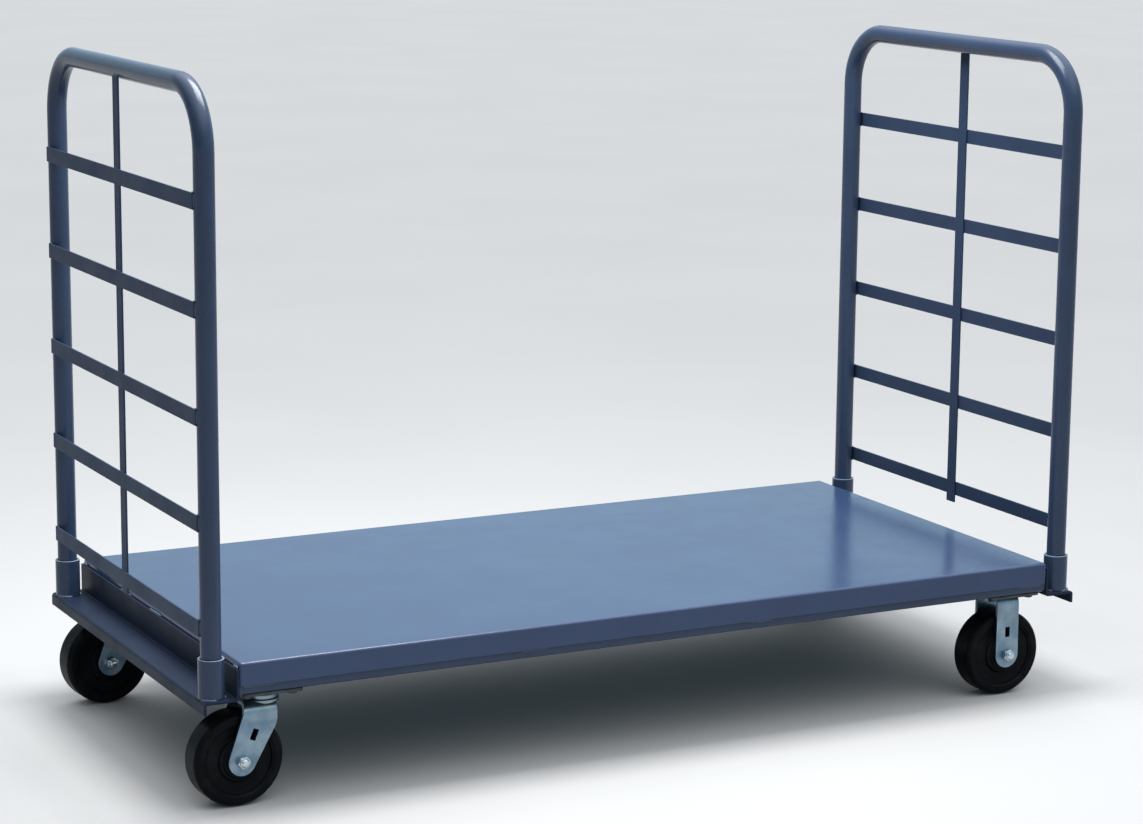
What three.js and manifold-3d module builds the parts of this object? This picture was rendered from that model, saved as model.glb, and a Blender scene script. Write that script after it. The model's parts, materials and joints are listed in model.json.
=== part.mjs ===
// Flatbed platform truck: a steel deck on two swivel and two rigid casters, with a slatted frame
// at each end that lifts out of its pipe sockets.
//
// Millimetres. The floor is z = 0, X runs along the deck, Y across it, and the origin lies on the
// floor under the deck's centre. The swivel casters are at the left end (-X), "front" is -Y.

import * as THREE from 'three';
import { mergeVertices } from 'three/addons/utils/BufferGeometryUtils.js';
import Module from 'manifold-3d';

const wasm = await Module();
wasm.setup();

// ---------------------------------------------------------------- driving dimensions

const INCH = 25.4;
const GAP = 0.3; // left between pieces that touch

const DECK_LENGTH = 60 * INCH;
const DECK_WIDTH = 30 * INCH;
const DECK_TOP = 244;
const DECK_SHEET = 2.7; // 12 gauge
const DECK_LIP = 1.5 * INCH;
const DECK_EDGE_RADIUS = 5;

const CASTER_HEIGHT = 7.5 * INCH;
const CASTER_X = 703;
const CASTER_Y = 318;
const SWIVEL_TURN = { front: 3, back: 4 }; // degrees that each swivel stands turned by

const FRAME_BOTTOM = CASTER_HEIGHT + GAP;
const FRAME_TOP = DECK_TOP - DECK_SHEET - GAP;
const FRAME_STEEL = 4.6;
const FRAME_BEND = 6; // outer radius of a bend in the frame's steel
const RAIL_LEG = 5 / 8 * INCH;
const RAIL_END_CUT = 7; // how far a rail's upper part stops short, to clear the deck's end lip
const CENTRE_MEMBER_WIDTH = 60;
const MEMBER_PAST_PLATE = 10; // how far a caster's cross member reaches inwards past the plates
const STRIP_BEND_STEPS = 4;

const BOLSTER_TOP = DECK_TOP - 10;
const LEDGE_TOP = DECK_TOP - 57;
const LIP_BOTTOM = DECK_TOP - 78;
const BOLSTER_INNER_X = DECK_LENGTH / 2 + GAP;
const BOLSTER_OUTER_X = 821.5;

const HOOP_X = 799.5;
const HOOP_Y = 14 * INCH;
const HOOP_TOP = DECK_TOP + 890; // height of the top tube's centreline
const HOOP_BEND = 100; // to the centreline
const HOOP_BEND_STEPS = 6;
const TUBE_RADIUS = 16.7;
const TUBE_WALL = 3.4;
const SOCKET_RADIUS = 21.1;
const SOCKET_BORE = 17.6;
const SOCKET_TOP = DECK_TOP + 7;
const SOCKET_CHAMFER = 0.8;

const FLAT_BAR = { width: INCH, thickness: INCH / 8 };
const SLAT_COUNT = 5;
const TOP_SLAT = DECK_TOP + 732; // height of the top slat's upper edge
const SLAT_PITCH = 165.8;
const UPRIGHT_BOTTOM = DECK_TOP + 30;

const PLATE = { alongX: 4 * INCH, alongY: 4.5 * INCH, thickness: 3 / 16 * INCH, corner: 8 };
const PLATE_BOLT = { spacing: 3 * INCH, holeRadius: 5.2 };
const RACE_RADIUS = 28.2;
const RACE_BOTTOM = 169;

const WHEEL_RADIUS = 3 * INCH;
const WHEEL_WIDTH = 2 * INCH;
const WHEEL_SIDES = 30;
const TREAD_SHOULDER = 6;
const HUB = { radius: 25, length: 55.6 };
const FACE_RECESS = { outer: 58, inner: 28, depth: 7 }; // the hollow in each face of the wheel
const BEARING = { outer: 14.8, inner: 10.2 };
const SLEEVE = { outer: 9.5, inner: 6.9 };
const AXLE_RADIUS = 6.35;
const AXLE_HOLE = 6.9;

const FORK_STEEL = 5.6;
const FORK_INNER = 28.9; // half the clear width between the legs
const FORK_OUTER = FORK_INNER + FORK_STEEL;
const FORK_TRAIL = 47.6;
const FORK_FOOT_RADIUS = 23.5;
const FORK_BEND = 19; // outer radius between the crown and a leg
const SWIVEL_LEG = { back: -32, front: 13 }; // its edges at the top, from the swivel axis
const KNEE = { height: 134, reach: 8 }; // in the front edge; it is round over this reach each way
const RIGID_LEG_HALF = 22.6;
const WINDOW = { width: 9.5, height: 18.5, aboveAxle: 41.5, aheadOfSwivelAxle: 20.5 };

const KINGPIN = { radius: 7.9, headRadius: 12.2, headHeight: 4, bottom: 149.5 };
const HEX = { axle: 3 / 4 * INCH, kingpin: 15 / 16 * INCH }; // across the flats
const AXLE_NUT_HEIGHT = 11.5;
const AXLE_HEAD_HEIGHT = 8;
const AXLE_END = 2.5; // past the nut

// ---------------------------------------------------------------- materials

const paint = () => new THREE.MeshStandardMaterial({ color: 0x4a5a70, roughness: 0.35, metalness: 0.1 });
const deckPaint = () => new THREE.MeshStandardMaterial({ color: 0x566a82, roughness: 0.3, metalness: 0.1 });
const zinc = () => new THREE.MeshStandardMaterial({ color: 0xa9b2b6, roughness: 0.35, metalness: 0.9 });
const rubber = () => new THREE.MeshStandardMaterial({ color: 0x121214, roughness: 0.6, metalness: 0 });
const bearingSteel = () => new THREE.MeshStandardMaterial({ color: 0x8d9094, roughness: 0.3, metalness: 1 });

// ---------------------------------------------------------------- solids

// A closed geometry as a solid that can be joined or cut.
function toSolid(geometry) {
  const bare = geometry.clone();
  bare.deleteAttribute('normal');
  bare.deleteAttribute('uv');
  const merged = mergeVertices(bare, 1e-4);
  return new wasm.Manifold(new wasm.Mesh({
    numProp: 3,
    vertProperties: merged.attributes.position.array,
    triVerts: new Uint32Array(merged.index.array),
  }));
}

function toGeometry(solid) {
  const cut = solid.getMesh();
  const geometry = new THREE.BufferGeometry();
  geometry.setAttribute('position', new THREE.BufferAttribute(new Float32Array(cut.vertProperties), 3));
  geometry.setIndex(new THREE.BufferAttribute(new Uint32Array(cut.triVerts), 1));
  geometry.computeVertexNormals();
  return geometry;
}

const joined = (...geometries) => toGeometry(
  geometries.map(toSolid).reduce((whole, piece) => whole.add(piece)));

const shared = (a, b) => toGeometry(toSolid(a).intersect(toSolid(b)));

const cutFrom = (base, ...tools) => toGeometry(
  tools.map(toSolid).reduce((rest, tool) => rest.subtract(tool), toSolid(base)));

// A box between two corners.
function box(low, high) {
  const size = high.map((value, i) => value - low[i]);
  const middle = high.map((value, i) => (value + low[i]) / 2);
  return new THREE.BoxGeometry(...size).translate(...middle);
}

const rodZ = (radius, low, high, sides) =>
  new THREE.CylinderGeometry(radius, radius, high - low, sides)
    .rotateX(Math.PI / 2).translate(0, 0, (low + high) / 2);

const rodY = (radius, low, high, sides) =>
  new THREE.CylinderGeometry(radius, radius, high - low, sides).translate(0, (low + high) / 2, 0);

const hexRadius = (acrossFlats) => acrossFlats / Math.sqrt(3);

// An outline in X and Z, extruded along Y and centred on y = 0.
const extrudeAcross = (outline, width) =>
  new THREE.ExtrudeGeometry(outline, { depth: width, bevelEnabled: false, curveSegments: 8 })
    .rotateX(Math.PI / 2).translate(0, width / 2, 0);

// An outline in Y and Z, extruded along X and centred on x = 0.
function extrudeAlong(outline, length) {
  const turn = new THREE.Matrix4().makeBasis(
    new THREE.Vector3(0, 1, 0), new THREE.Vector3(0, 0, 1), new THREE.Vector3(1, 0, 0));
  return new THREE.ExtrudeGeometry(outline, { depth: length, bevelEnabled: false, curveSegments: 4 })
    .translate(0, 0, -length / 2).applyMatrix4(turn);
}

// A profile of [radius, height] corners, turned about the Z axis.
const turnedZ = (profile, sides) =>
  new THREE.LatheGeometry(profile.map(([r, z]) => new THREE.Vector2(r, z)), sides).rotateX(Math.PI / 2);

function roundedRectangle(width, height, radius) {
  const [x, y] = [width / 2 - radius, height / 2 - radius];
  const outline = new THREE.Shape();
  outline.absarc(x, y, radius, 0, Math.PI / 2);
  outline.absarc(-x, y, radius, Math.PI / 2, Math.PI);
  outline.absarc(-x, -y, radius, Math.PI, 1.5 * Math.PI);
  outline.absarc(x, -y, radius, 1.5 * Math.PI, 2 * Math.PI);
  return outline;
}

// A bent strip's section: the corners of its centreline, given as [u, v], thickened both ways,
// with round bends. Every bend is square.
function stripSection(corners, thickness, outerBend) {
  const half = thickness / 2;
  const middleBend = outerBend - half;
  const points = corners.map(([u, v]) => new THREE.Vector2(u, v));
  const leftSide = [];
  const rightSide = [];
  points.forEach((corner, i) => {
    const before = i > 0 ? corner.clone().sub(points[i - 1]).normalize() : null;
    const after = i < points.length - 1 ? points[i + 1].clone().sub(corner).normalize() : null;
    if (!before || !after) {
      const along = before ?? after;
      const normal = new THREE.Vector2(-along.y, along.x).multiplyScalar(half);
      leftSide.push(corner.clone().add(normal));
      rightSide.push(corner.clone().sub(normal));
      return;
    }
    const turn = Math.sign(before.cross(after)); // +1 turns left
    const centre = corner.clone().addScaledVector(before, -middleBend).addScaledVector(after, middleBend);
    const start = new THREE.Vector2(before.y, -before.x).multiplyScalar(turn).angle();
    for (let k = 0; k <= STRIP_BEND_STEPS; k += 1) {
      const angle = start + turn * (Math.PI / 2) * (k / STRIP_BEND_STEPS);
      const spoke = new THREE.Vector2(Math.cos(angle), Math.sin(angle));
      leftSide.push(centre.clone().addScaledVector(spoke, middleBend - turn * half));
      rightSide.push(centre.clone().addScaledVector(spoke, middleBend + turn * half));
    }
  });
  return new THREE.Shape([...rightSide, ...leftSide.reverse()]);
}

// ---------------------------------------------------------------- deck and underframe

// A block with a round top edge, standing on its open bottom; the deck is one less a smaller one.
function roundTopBlock(length, width, edgeRadius, cornerRadius, bottom, top) {
  const block = new THREE.ExtrudeGeometry(roundedRectangle(length, width, cornerRadius), {
    depth: top - bottom - edgeRadius,
    bevelEnabled: true,
    bevelThickness: edgeRadius,
    bevelSize: edgeRadius,
    bevelOffset: -edgeRadius,
    bevelSegments: 4,
    curveSegments: 2,
  }).translate(0, 0, bottom);
  const underside = box([-length, -width, bottom - 2 * edgeRadius], [length, width, bottom]);
  return cutFrom(block, underside);
}

function deckSheet() {
  const bottom = DECK_TOP - DECK_LIP;
  const corner = DECK_EDGE_RADIUS + 1;
  const outside = roundTopBlock(DECK_LENGTH, DECK_WIDTH, DECK_EDGE_RADIUS, corner, bottom, DECK_TOP);
  const inside = roundTopBlock(
    DECK_LENGTH - 2 * DECK_SHEET, DECK_WIDTH - 2 * DECK_SHEET,
    DECK_EDGE_RADIUS - DECK_SHEET, corner - DECK_SHEET, bottom - 1, DECK_TOP - DECK_SHEET);
  return cutFrom(outside, inside);
}

// A channel along the deck's side, its legs turned inwards, for the side at -Y.
function sideRail() {
  const half = FRAME_STEEL / 2;
  const webY = -(DECK_WIDTH / 2 - DECK_SHEET - GAP - half);
  const legTipY = webY - half + RAIL_LEG;
  const section = stripSection([
    [legTipY, FRAME_BOTTOM + half], [webY, FRAME_BOTTOM + half],
    [webY, FRAME_TOP - half], [legTipY, FRAME_TOP - half],
  ], FRAME_STEEL, FRAME_BEND);
  const channel = extrudeAlong(section, DECK_LENGTH);
  const cutStart = DECK_LENGTH / 2 - RAIL_END_CUT;
  const cutBottom = DECK_TOP - DECK_LIP - GAP;
  const endCuts = [1, -1].map((end) => {
    const [low, high] = [end * cutStart, end * DECK_LENGTH].sort((a, b) => a - b);
    return box([low, -DECK_WIDTH, cutBottom], [high, 0, DECK_TOP]);
  });
  return cutFrom(channel, ...endCuts);
}

// A channel from rail to rail with its legs up, centred on x = 0.
function crossMember(width) {
  const half = FRAME_STEEL / 2;
  const legX = width / 2 - half;
  const section = stripSection([
    [-legX, FRAME_TOP], [-legX, FRAME_BOTTOM + half], [legX, FRAME_BOTTOM + half], [legX, FRAME_TOP],
  ], FRAME_STEEL, FRAME_BEND);
  const railLegTip = DECK_WIDTH / 2 - DECK_SHEET - GAP - RAIL_LEG;
  return extrudeAcross(section, 2 * (railLegTip - GAP));
}

// Drills for the four bolts of one caster plate, from below the plate to above its cross member.
function boltDrills(x, y) {
  const offset = PLATE_BOLT.spacing / 2;
  return [[1, 1], [1, -1], [-1, 1], [-1, -1]].map(([sx, sy]) =>
    rodZ(PLATE_BOLT.holeRadius, CASTER_HEIGHT - 10, CASTER_HEIGHT + 10, 12)
      .translate(x + sx * offset, y + sy * offset, 0));
}

// The cross member that carries one pair of casters. Its middle is a little inside the casters',
// because the deck's end lip limits it on the outside.
function casterCrossMember(end) {
  const outerX = DECK_LENGTH / 2 - DECK_EDGE_RADIUS - 1;
  const innerX = CASTER_X - PLATE.alongX / 2 - MEMBER_PAST_PLATE;
  const member = crossMember(outerX - innerX).translate(end * (outerX + innerX) / 2, 0, 0);
  return cutFrom(member, ...boltDrills(end * CASTER_X, -CASTER_Y), ...boltDrills(end * CASTER_X, CASTER_Y));
}

// The formed strip across the right end: an upright against the deck, a ledge, a turned-down lip.
function endBolster() {
  const half = FRAME_STEEL / 2;
  const section = stripSection([
    [BOLSTER_INNER_X + half, BOLSTER_TOP], [BOLSTER_INNER_X + half, LEDGE_TOP - half],
    [BOLSTER_OUTER_X - half, LEDGE_TOP - half], [BOLSTER_OUTER_X - half, LIP_BOTTOM],
  ], FRAME_STEEL, FRAME_BEND);
  return extrudeAcross(section, DECK_WIDTH);
}

function socket() {
  const bottom = LEDGE_TOP + GAP;
  return turnedZ([
    [SOCKET_RADIUS, bottom], [SOCKET_RADIUS, SOCKET_TOP - SOCKET_CHAMFER],
    [SOCKET_RADIUS - SOCKET_CHAMFER, SOCKET_TOP], [SOCKET_BORE, SOCKET_TOP],
    [SOCKET_BORE, bottom], [SOCKET_RADIUS, bottom],
  ], 24);
}

// ---------------------------------------------------------------- end frames

// The hoop's centreline in the plane x = 0: up, round a bend, across, round a bend and down.
// Its parameter takes one step on each straight and HOOP_BEND_STEPS on each bend.
const HOOP_STEPS = 3 + 2 * HOOP_BEND_STEPS;

class HoopLine extends THREE.Curve {
  getPoint(t, point = new THREE.Vector3()) {
    const bottom = LEDGE_TOP + GAP;
    const bendZ = HOOP_TOP - HOOP_BEND;
    const bendY = HOOP_Y - HOOP_BEND;
    const step = Math.min(t, 1 - t) * HOOP_STEPS;
    const side = t < 0.5 ? -1 : 1;
    if (step <= 1) return point.set(0, side * HOOP_Y, bottom + (bendZ - bottom) * step);
    if (step <= 1 + HOOP_BEND_STEPS) {
      const angle = (Math.PI / 2) * (step - 1) / HOOP_BEND_STEPS;
      return point.set(0, side * (bendY + HOOP_BEND * Math.cos(angle)), bendZ + HOOP_BEND * Math.sin(angle));
    }
    return point.set(0, side * bendY * (1 - 2 * (step - 1 - HOOP_BEND_STEPS)), HOOP_TOP);
  }

  // Steps are equal in t, not in length.
  getUtoTmapping(u) {
    return u;
  }
}

function handleTube() {
  const section = new THREE.Shape().absarc(0, 0, TUBE_RADIUS, 0, 2 * Math.PI);
  section.holes.push(new THREE.Path().absarc(0, 0, TUBE_RADIUS - TUBE_WALL, 0, 2 * Math.PI));
  return new THREE.ExtrudeGeometry(section, {
    steps: HOOP_STEPS,
    extrudePath: new HoopLine(),
    curveSegments: 8,
  });
}

// A flat bar across the hoop's outer face, for the right end.
function slat(topEdge) {
  const innerX = HOOP_X + TUBE_RADIUS + GAP;
  return box(
    [innerX, -HOOP_Y, topEdge - FLAT_BAR.width], [innerX + FLAT_BAR.thickness, HOOP_Y, topEdge]);
}

// The upright flat bar on the slats' inner faces, from below the lowest slat to the top tube.
function uprightBar() {
  const outerX = HOOP_X + TUBE_RADIUS;
  const innerX = outerX - FLAT_BAR.thickness;
  const underTube = HOOP_TOP - Math.sqrt(TUBE_RADIUS ** 2 - (innerX - HOOP_X) ** 2) - GAP;
  return box([innerX, -FLAT_BAR.width / 2, UPRIGHT_BOTTOM], [outerX, FLAT_BAR.width / 2, underTube]);
}

// ---------------------------------------------------------------- casters

// Each caster piece is made about the origin of its own caster: x = y = 0 is the swivel axis, or
// the middle of a rigid caster's plate. A swivel fork trails towards -X.

function topPlate() {
  const bottom = CASTER_HEIGHT - PLATE.thickness;
  const plate = new THREE.ExtrudeGeometry(
    roundedRectangle(PLATE.alongX, PLATE.alongY, PLATE.corner),
    { depth: PLATE.thickness, bevelEnabled: false, curveSegments: 2 }).translate(0, 0, bottom);
  return cutFrom(plate, ...boltDrills(0, 0));
}

function swivelTopPlate() {
  return cutFrom(
    topPlate(),
    rodZ(KINGPIN.radius + 0.5, CASTER_HEIGHT - 10, CASTER_HEIGHT + 1, 20),
    rodZ(KINGPIN.headRadius + 0.4, CASTER_HEIGHT - KINGPIN.headHeight - 2 * GAP, CASTER_HEIGHT + 1, 20));
}

// The ring of balls in its two cups, between the plate and the fork's crown.
function ballRace() {
  const top = CASTER_HEIGHT - PLATE.thickness - GAP;
  const middle = (top + RACE_BOTTOM) / 2;
  const bore = KINGPIN.radius + 0.8;
  return turnedZ([
    [bore, RACE_BOTTOM], [RACE_RADIUS - 2, RACE_BOTTOM], [RACE_RADIUS, RACE_BOTTOM + 2],
    [RACE_RADIUS, middle - 1], [RACE_RADIUS - 2.5, middle], [RACE_RADIUS, middle + 1],
    [RACE_RADIUS, top], [bore, top], [bore, RACE_BOTTOM],
  ], 24);
}

function kingpin() {
  const headTop = CASTER_HEIGHT - GAP;
  const headBottom = headTop - KINGPIN.headHeight;
  return turnedZ([
    [0, KINGPIN.bottom], [KINGPIN.radius, KINGPIN.bottom], [KINGPIN.radius, headBottom],
    [KINGPIN.headRadius, headBottom], [KINGPIN.headRadius, headTop], [0, headTop],
  ], 20);
}

function kingpinNut() {
  const top = RACE_BOTTOM - GAP - FORK_STEEL - GAP;
  const bottom = KINGPIN.bottom + 1.5;
  return cutFrom(
    rodZ(hexRadius(HEX.kingpin), bottom, top, 6),
    rodZ(KINGPIN.radius + 0.5, bottom - 1, top + 1, 16));
}

// The two legs and the crown that joins them: an upside-down U, trimmed to the legs' side view.
function forkLegs(crownTop, sideView) {
  const half = FORK_STEEL / 2;
  const legY = FORK_OUTER - half;
  const section = stripSection(
    [[-legY, 0], [-legY, crownTop - half], [legY, crownTop - half], [legY, 0]], FORK_STEEL, FORK_BEND);
  return shared(extrudeAlong(section, 300), extrudeAcross(sideView, 2 * FORK_OUTER + 2));
}

// The legs' side view: two edges, each from its point at the top down to the round foot at the
// axle. The right edge is straight, or turns at a round knee above the foot.
function legSideView(axleX, leftTop, rightTop, knee = null) {
  const foot = new THREE.Vector2(axleX, WHEEL_RADIUS);
  const tangentAngle = (point, side) => {
    const toPoint = point.clone().sub(foot);
    return toPoint.angle() + side * Math.acos(FORK_FOOT_RADIUS / toPoint.length());
  };
  const rightAngle = tangentAngle(knee ?? rightTop, -1);
  const outline = new THREE.Shape().moveTo(...leftTop);
  outline.absarc(foot.x, foot.y, FORK_FOOT_RADIUS, tangentAngle(leftTop, 1), rightAngle + 2 * Math.PI);
  if (knee) {
    const edgeStart = new THREE.Vector2(Math.cos(rightAngle), Math.sin(rightAngle))
      .multiplyScalar(FORK_FOOT_RADIUS).add(foot);
    const towards = (point) => point.clone().sub(knee).setLength(KNEE.reach).add(knee);
    outline.lineTo(...towards(edgeStart));
    outline.quadraticCurveTo(...knee, ...towards(rightTop));
  }
  return outline.lineTo(...rightTop);
}

// Drills for the axle, and the small window in both legs, which leans with the leg.
function forkDrills(axleX, windowX, lean) {
  const reach = FORK_OUTER + 5;
  const window = box(
    [-WINDOW.width / 2, -reach, -WINDOW.height / 2], [WINDOW.width / 2, reach, WINDOW.height / 2])
    .rotateY(lean).translate(windowX, 0, WHEEL_RADIUS + WINDOW.aboveAxle);
  return [rodY(AXLE_HOLE, -reach, reach, 16).translate(axleX, 0, WHEEL_RADIUS), window];
}

function swivelFork() {
  const crownTop = RACE_BOTTOM - GAP;
  const { back, front } = SWIVEL_LEG;
  const lean = Math.atan2(FORK_TRAIL + (back + front) / 2, crownTop - WHEEL_RADIUS);
  const sideView = legSideView(
    -FORK_TRAIL, new THREE.Vector2(back, CASTER_HEIGHT), new THREE.Vector2(front, CASTER_HEIGHT),
    new THREE.Vector2(front, KNEE.height));
  const crown = rodZ(RACE_RADIUS + 1, crownTop - FORK_STEEL, crownTop, 32);
  return cutFrom(
    joined(forkLegs(crownTop, sideView), crown),
    rodZ(KINGPIN.radius + 0.6, crownTop - 20, crownTop + 5, 24),
    ...forkDrills(-FORK_TRAIL, -FORK_TRAIL + WINDOW.aheadOfSwivelAxle, lean));
}

// A rigid caster's plate and legs are welded into one piece.
function rigidFork() {
  const plateBottom = CASTER_HEIGHT - PLATE.thickness;
  const overlap = 0.2;
  const sideView = legSideView(
    0, new THREE.Vector2(-RIGID_LEG_HALF, CASTER_HEIGHT), new THREE.Vector2(RIGID_LEG_HALF, CASTER_HEIGHT));
  return cutFrom(
    joined(topPlate(), forkLegs(plateBottom + overlap, sideView)),
    ...forkDrills(0, 0, 0));
}

// The wheel turns about Y and is centred on its axle. Its tread stands on a flat of its outline.
function wheel() {
  const tread = WHEEL_RADIUS / Math.cos(Math.PI / WHEEL_SIDES);
  const half = WHEEL_WIDTH / 2;
  const diagonal = TREAD_SHOULDER * (1 - Math.SQRT1_2);
  const side = [
    [tread, half - TREAD_SHOULDER], [tread - diagonal, half - diagonal], [tread - TREAD_SHOULDER, half],
    [FACE_RECESS.outer, half - 0.6], [FACE_RECESS.outer - 2, half - FACE_RECESS.depth],
    [FACE_RECESS.inner, half - FACE_RECESS.depth], [HUB.radius, HUB.length / 2],
    [BEARING.outer + 0.6, HUB.length / 2],
  ];
  const otherSide = side.map(([r, y]) => [r, -y]).reverse();
  const profile = [...side, ...otherSide, side[0]].map(([r, y]) => new THREE.Vector2(r, y));
  return new THREE.LatheGeometry(profile, WHEEL_SIDES, Math.PI / WHEEL_SIDES, 2 * Math.PI);
}

function ringY(outer, inner, halfLength, sides) {
  const corners = [
    [outer, -halfLength], [outer, halfLength], [inner, halfLength], [inner, -halfLength],
    [outer, -halfLength],
  ];
  return new THREE.LatheGeometry(corners.map(([r, y]) => new THREE.Vector2(r, y)), sides);
}

const wheelBearing = () => ringY(BEARING.outer, BEARING.inner, HUB.length / 2 - 0.4, 20);

const axleSleeve = () => ringY(SLEEVE.outer, SLEEVE.inner, FORK_INNER - GAP, 16);

const NUT_SEAT = FORK_OUTER + GAP;

// The head is on the back leg, the nut on the front leg.
const axleBolt = () => joined(
  rodY(AXLE_RADIUS, -(NUT_SEAT + AXLE_NUT_HEIGHT + AXLE_END), NUT_SEAT + 1, 16),
  rodY(hexRadius(HEX.axle), NUT_SEAT, NUT_SEAT + AXLE_HEAD_HEIGHT, 6));

const axleNut = () => cutFrom(
  rodY(hexRadius(HEX.axle), -(NUT_SEAT + AXLE_NUT_HEIGHT), -NUT_SEAT, 6),
  rodY(AXLE_HOLE, -(NUT_SEAT + AXLE_NUT_HEIGHT + 1), -NUT_SEAT + 1, 16));

// ---------------------------------------------------------------- the assembly

function piece(name, geometry, material, position = [0, 0, 0]) {
  const mesh = new THREE.Mesh(geometry, material);
  mesh.name = name;
  mesh.position.set(...position);
  return mesh;
}

const ENDS = { left: -1, right: 1 };
const SIDES = { front: -1, back: 1 };

function chassis() {
  const group = new THREE.Group();
  group.add(piece('deck_sheet', deckSheet(), deckPaint()));
  for (const side of Object.keys(SIDES)) {
    const rail = piece(`side_rail_${side}`, sideRail(), paint());
    rail.rotation.z = side === 'front' ? 0 : Math.PI;
    group.add(rail);
  }
  group.add(piece('cross_member_centre', crossMember(CENTRE_MEMBER_WIDTH), paint()));
  for (const [end, sign] of Object.entries(ENDS)) {
    group.add(piece(`cross_member_${end}`, casterCrossMember(sign), paint()));
    const bolster = piece(`end_bolster_${end}`, endBolster(), paint());
    bolster.rotation.z = end === 'right' ? 0 : Math.PI;
    group.add(bolster);
    for (const [side, sideSign] of Object.entries(SIDES)) {
      group.add(piece(`socket_${end}_${side}`, socket(), paint(), [sign * HOOP_X, sideSign * HOOP_Y, 0]));
    }
  }
  return group;
}

// One end frame, made for the right end and turned half round for the left.
function endFrame(end) {
  const group = new THREE.Group();
  group.rotation.z = end === 'right' ? 0 : Math.PI;
  group.add(piece(`handle_tube_${end}`, handleTube(), paint(), [HOOP_X, 0, 0]));
  for (let i = 0; i < SLAT_COUNT; i += 1) {
    group.add(piece(`slat_${end}_${i + 1}`, slat(TOP_SLAT - i * SLAT_PITCH), paint()));
  }
  group.add(piece(`upright_bar_${end}`, uprightBar(), paint()));
  return group;
}

function wheelSet(kind, side, axleX) {
  const axle = [axleX, 0, WHEEL_RADIUS];
  const group = new THREE.Group();
  group.add(piece(`${kind}_wheel_${side}`, wheel(), rubber(), axle));
  group.add(piece(`${kind}_wheel_bearing_${side}`, wheelBearing(), bearingSteel(), axle));
  group.add(piece(`${kind}_axle_sleeve_${side}`, axleSleeve(), zinc(), axle));
  group.add(piece(`${kind}_axle_bolt_${side}`, axleBolt(), zinc(), axle));
  group.add(piece(`${kind}_axle_nut_${side}`, axleNut(), zinc(), axle));
  return group;
}

function swivelCaster(side) {
  const fixed = new THREE.Group();
  fixed.add(piece(`swivel_top_plate_${side}`, swivelTopPlate(), zinc()));
  fixed.add(piece(`ball_race_${side}`, ballRace(), zinc()));
  fixed.add(piece(`kingpin_${side}`, kingpin(), zinc()));
  fixed.add(piece(`kingpin_nut_${side}`, kingpinNut(), zinc()));
  const turning = new THREE.Group();
  turning.rotation.z = THREE.MathUtils.degToRad(SWIVEL_TURN[side]);
  turning.add(piece(`swivel_fork_${side}`, swivelFork(), zinc()));
  turning.add(wheelSet('swivel', side, -FORK_TRAIL));
  const group = new THREE.Group();
  group.position.set(-CASTER_X, SIDES[side] * CASTER_Y, 0);
  group.add(fixed, turning);
  return group;
}

function rigidCaster(side) {
  const group = new THREE.Group();
  group.position.set(CASTER_X, SIDES[side] * CASTER_Y, 0);
  group.add(piece(`rigid_fork_${side}`, rigidFork(), zinc()));
  group.add(wheelSet('rigid', side, 0));
  return group;
}

const truck = new THREE.Group();
truck.add(chassis());
for (const end of Object.keys(ENDS)) truck.add(endFrame(end));
for (const side of Object.keys(SIDES)) truck.add(swivelCaster(side), rigidCaster(side));

export default truck;
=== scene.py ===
"""The look of a steel flatbed platform truck with a slatted frame at each end.

Metres, in the CAD model's frame: X runs along the deck, Y across it, and the floor is z = 0.
The swivel casters are at the left end (-X), and "front" is -Y.
"""

import json
import math
import random

import bmesh
import bpy
from mathutils import Matrix, Vector, noise


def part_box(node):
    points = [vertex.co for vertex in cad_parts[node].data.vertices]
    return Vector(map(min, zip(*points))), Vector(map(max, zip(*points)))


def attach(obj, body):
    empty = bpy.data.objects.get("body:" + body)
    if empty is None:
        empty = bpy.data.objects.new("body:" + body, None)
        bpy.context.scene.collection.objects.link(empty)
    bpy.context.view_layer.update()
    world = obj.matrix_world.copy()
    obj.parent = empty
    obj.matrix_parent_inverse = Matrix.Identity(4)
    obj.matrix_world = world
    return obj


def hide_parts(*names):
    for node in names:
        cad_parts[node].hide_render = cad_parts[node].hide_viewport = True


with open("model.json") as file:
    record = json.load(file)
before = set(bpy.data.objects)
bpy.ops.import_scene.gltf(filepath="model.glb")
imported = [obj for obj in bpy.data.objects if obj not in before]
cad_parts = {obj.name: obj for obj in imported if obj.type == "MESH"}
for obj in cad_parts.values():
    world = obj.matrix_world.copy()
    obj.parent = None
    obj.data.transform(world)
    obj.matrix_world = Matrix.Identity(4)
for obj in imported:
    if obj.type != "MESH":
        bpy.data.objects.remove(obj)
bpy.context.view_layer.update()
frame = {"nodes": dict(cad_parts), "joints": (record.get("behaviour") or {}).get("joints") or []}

MM = 0.001
INCH = 25.4 * MM
ENDS = {"left": -1, "right": 1}
SIDES = {"front": -1, "back": 1}
TRUCK = "truck_frame"

# ---------------------------------------------------------------- sizes

DECK_LOW, DECK_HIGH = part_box("deck_sheet")
DECK_SHEET = 2.7 * MM
DECK_EDGE = 5 * MM  # radius of its rounded edges

STEEL = 4.6 * MM  # rails, cross members and end bolsters
BEND = 6 * MM  # their bends' outer radius
RAIL_LEG = 5 / 8 * INCH
RAIL_END_CUT = 7 * MM

TUBE_RADIUS = 16.7 * MM
TUBE_WALL = 3.4 * MM
HOOP_BEND = 100 * MM
SOCKET_RADIUS = 21.1 * MM
SOCKET_BORE = 17.6 * MM
BAR_EASE = 0.7 * MM  # a rolled flat bar's edge radius

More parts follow.
